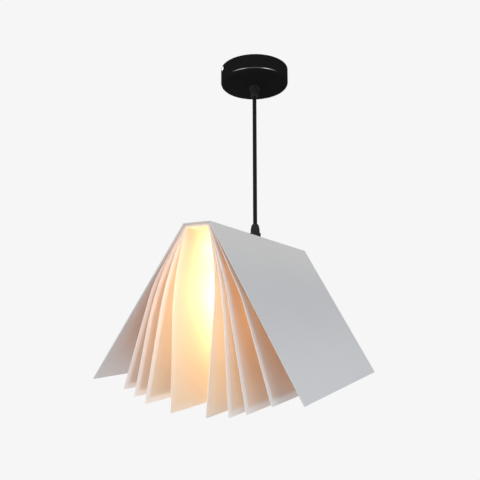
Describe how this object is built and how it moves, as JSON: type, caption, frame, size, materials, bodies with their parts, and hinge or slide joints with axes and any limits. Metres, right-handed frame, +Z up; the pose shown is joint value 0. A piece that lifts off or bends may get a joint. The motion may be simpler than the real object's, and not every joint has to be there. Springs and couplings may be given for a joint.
{
  "type": "pendant light",
  "caption": "Pendant light with a shade like an open book hung face down, on a cord below a round ceiling canopy.",
  "frame": {"origin": "centre of the two ceiling screw holes, in the plane of the ceiling", "axes": "+Z up to the ceiling, +Y along the spine of the shade to its back end, +X to the viewer's right"},
  "size_m": [0.2748, 0.32, 0.4741],
  "materials": {
    "canopy_paint": "satin near-black",
    "steel": "zinc plated",
    "side_screw_metal": "bright",
    "terminal_plastic": "plain white",
    "brass": "bright",
    "grip_plastic": "matt near-black",
    "cord_sheath": "matt black",
    "live_sheath": "brown",
    "neutral_sheath": "blue",
    "cover_board": "matt white, opaque",
    "page_sheet": "matt white, lets light through",
    "holder_plastic": "plain white",
    "porcelain": "unglazed white",
    "cap_metal": "nickel plated",
    "cap_insulation": "black",
    "bulb_plastic": "plain white",
    "opal_globe": "opal white, lit from inside"
  },
  "bodies": {
    "ceiling_fitting": {"canopy": "canopy_paint", "ceiling_bracket": "steel", "side_screw_front": "side_screw_metal", "side_screw_back": "side_screw_metal", "terminal_block": "terminal_plastic", "terminal_inserts": "brass", "terminal_screws": "steel", "block_screw": "steel", "earth_screw": "steel", "cord_grip_collar": "grip_plastic", "cord_grip_barrel": "grip_plastic", "canopy_nut": "steel", "cord_tail": "cord_sheath", "live_wire": "live_sheath", "neutral_wire": "neutral_sheath"},
    "cord": {"cord": "cord_sheath"},
    "lampholder": {"cord_boot": "grip_plastic", "upper_washer": "steel", "threaded_nipple": "steel", "seat_washer": "steel", "holder_nut": "steel", "holder_cap": "holder_plastic", "holder_body": "holder_plastic", "holder_insulator": "porcelain", "contact_screws": "steel", "screw_shell": "brass", "centre_contact": "brass", "cord_end": "cord_sheath", "holder_live_wire": "live_sheath", "holder_neutral_wire": "neutral_sheath"},
    "shade": {"cover_sheet": "cover_board", "page_sheet_1": "page_sheet", "page_sheet_2": "page_sheet", "page_sheet_3": "page_sheet", "page_sheet_4": "page_sheet"},
    "bulb": {"bulb_tip": "brass", "bulb_insulator": "cap_insulation", "bulb_cap": "cap_metal", "bulb_collar": "bulb_plastic", "bulb_board": "steel", "bulb_globe": "opal_globe"}
  },
  "joints": [
    {"name": "cord_swing", "type": "hinge", "parent": "ceiling_fitting", "child": "cord", "pos_m": [0, 0, -0.0453], "axis": [0, 1, 0], "range_deg": [-45, 45]},
    {"name": "lamp_nod", "type": "hinge", "parent": "cord", "child": "lampholder", "pos_m": [0, 0, -0.2317], "axis": [1, 0, 0], "range_deg": [-30, 30]},
    {"name": "shade_turn", "type": "hinge", "parent": "lampholder", "child": "shade", "pos_m": [0, 0, -0.257], "axis": [0, 0, 1], "continuous": true},
    {"name": "bulb_turn", "type": "hinge", "parent": "lampholder", "child": "bulb", "pos_m": [0, 0, -0.307], "axis": [0, 0, 1], "range_deg": [-1080, 0]}
  ]
}
